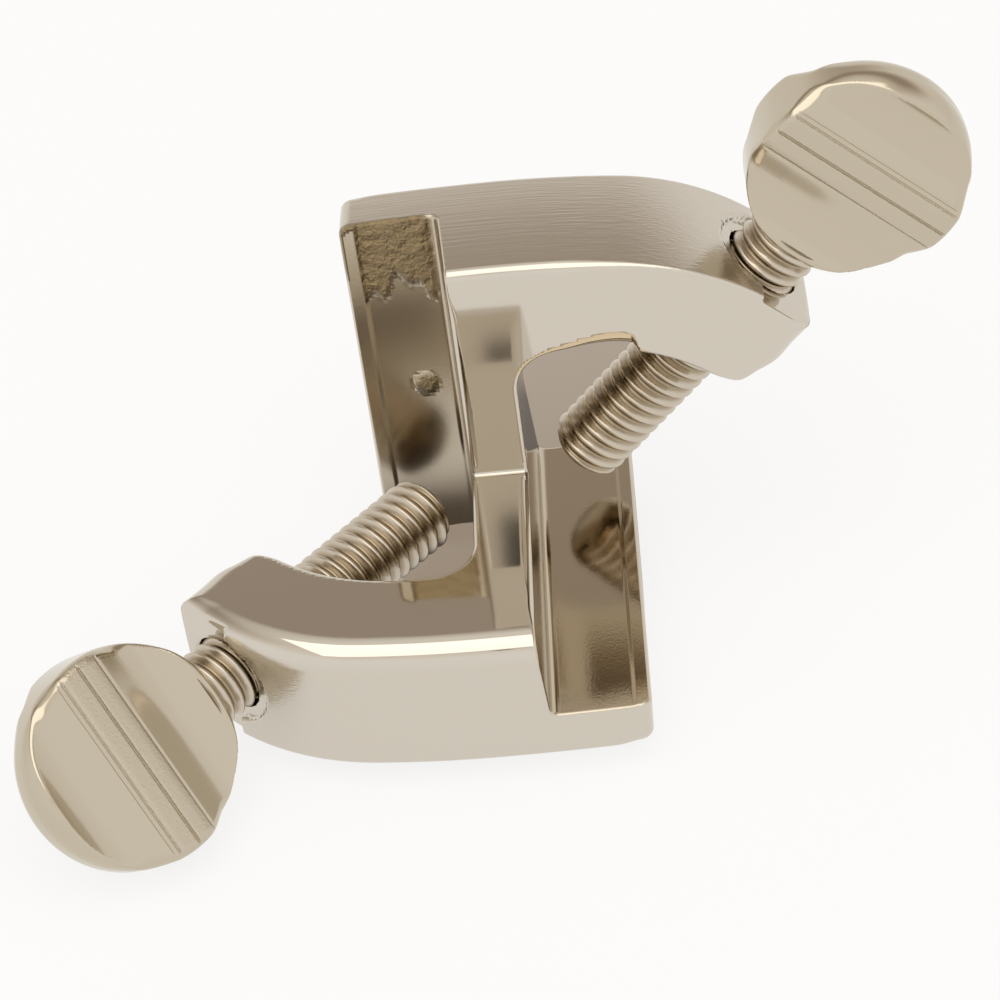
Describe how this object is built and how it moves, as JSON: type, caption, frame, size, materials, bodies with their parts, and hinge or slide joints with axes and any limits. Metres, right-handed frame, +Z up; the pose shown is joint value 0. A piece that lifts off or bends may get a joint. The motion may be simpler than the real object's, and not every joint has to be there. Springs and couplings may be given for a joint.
{
  "type": "boss head clamp",
  "caption": "Boss head clamp: two hook jaws back to back at right angles, each with a thumbscrew that holds a rod.",
  "frame": {"origin": "on the back plate's seat in the upright jaw, where the stand rod bears, half way up the body", "axes": "+Z up along the upright rod, -Y out of the seat towards the front, +X towards the level jaw's arm"},
  "size_m": [0.0948, 0.0527, 0.0564],
  "materials": {
    "plated_casting": "nickel plate, polished outside, as cast in the channels",
    "plated_stud": "nickel plated thread",
    "plated_head": "satin nickel plate"
  },
  "bodies": {
    "casting": {"casting": "plated_casting"},
    "upper_stud": {"upper_stud": "plated_stud"},
    "upper_thumb_head": {"upper_thumb_head": "plated_head"},
    "lower_stud": {"lower_stud": "plated_stud"},
    "lower_thumb_head": {"lower_thumb_head": "plated_head"}
  },
  "joints": [
    {"name": "upper_screw_travel", "type": "slide", "parent": "casting", "child": "upper_stud", "axis": [0.6691, 0, 0.7431], "range_m": [-0.00176, 0.01834]},
    {"name": "upper_screw_turn", "type": "hinge", "parent": "upper_stud", "child": "upper_thumb_head", "pos_m": [0.04462, -0.002, 0.02285], "axis": [0.6691, 0, 0.7431], "range_deg": [-450, 4680]},
    {"name": "lower_screw_travel", "type": "slide", "parent": "casting", "child": "lower_stud", "axis": [-0.6691, -0.7431, 0], "range_m": [-0.00176, 0.01834]},
    {"name": "lower_screw_turn", "type": "hinge", "parent": "lower_stud", "child": "lower_thumb_head", "pos_m": [-0.02982, -0.03745, -0.0126], "axis": [-0.6691, -0.7431, 0], "range_deg": [-450, 4680]}
  ],
  "couplings": [
    {"joint": "upper_screw_turn", "follows": "upper_screw_travel", "rad_per_m": 4452.7},
    {"joint": "lower_screw_turn", "follows": "lower_screw_travel", "rad_per_m": 4452.7}
  ]
}
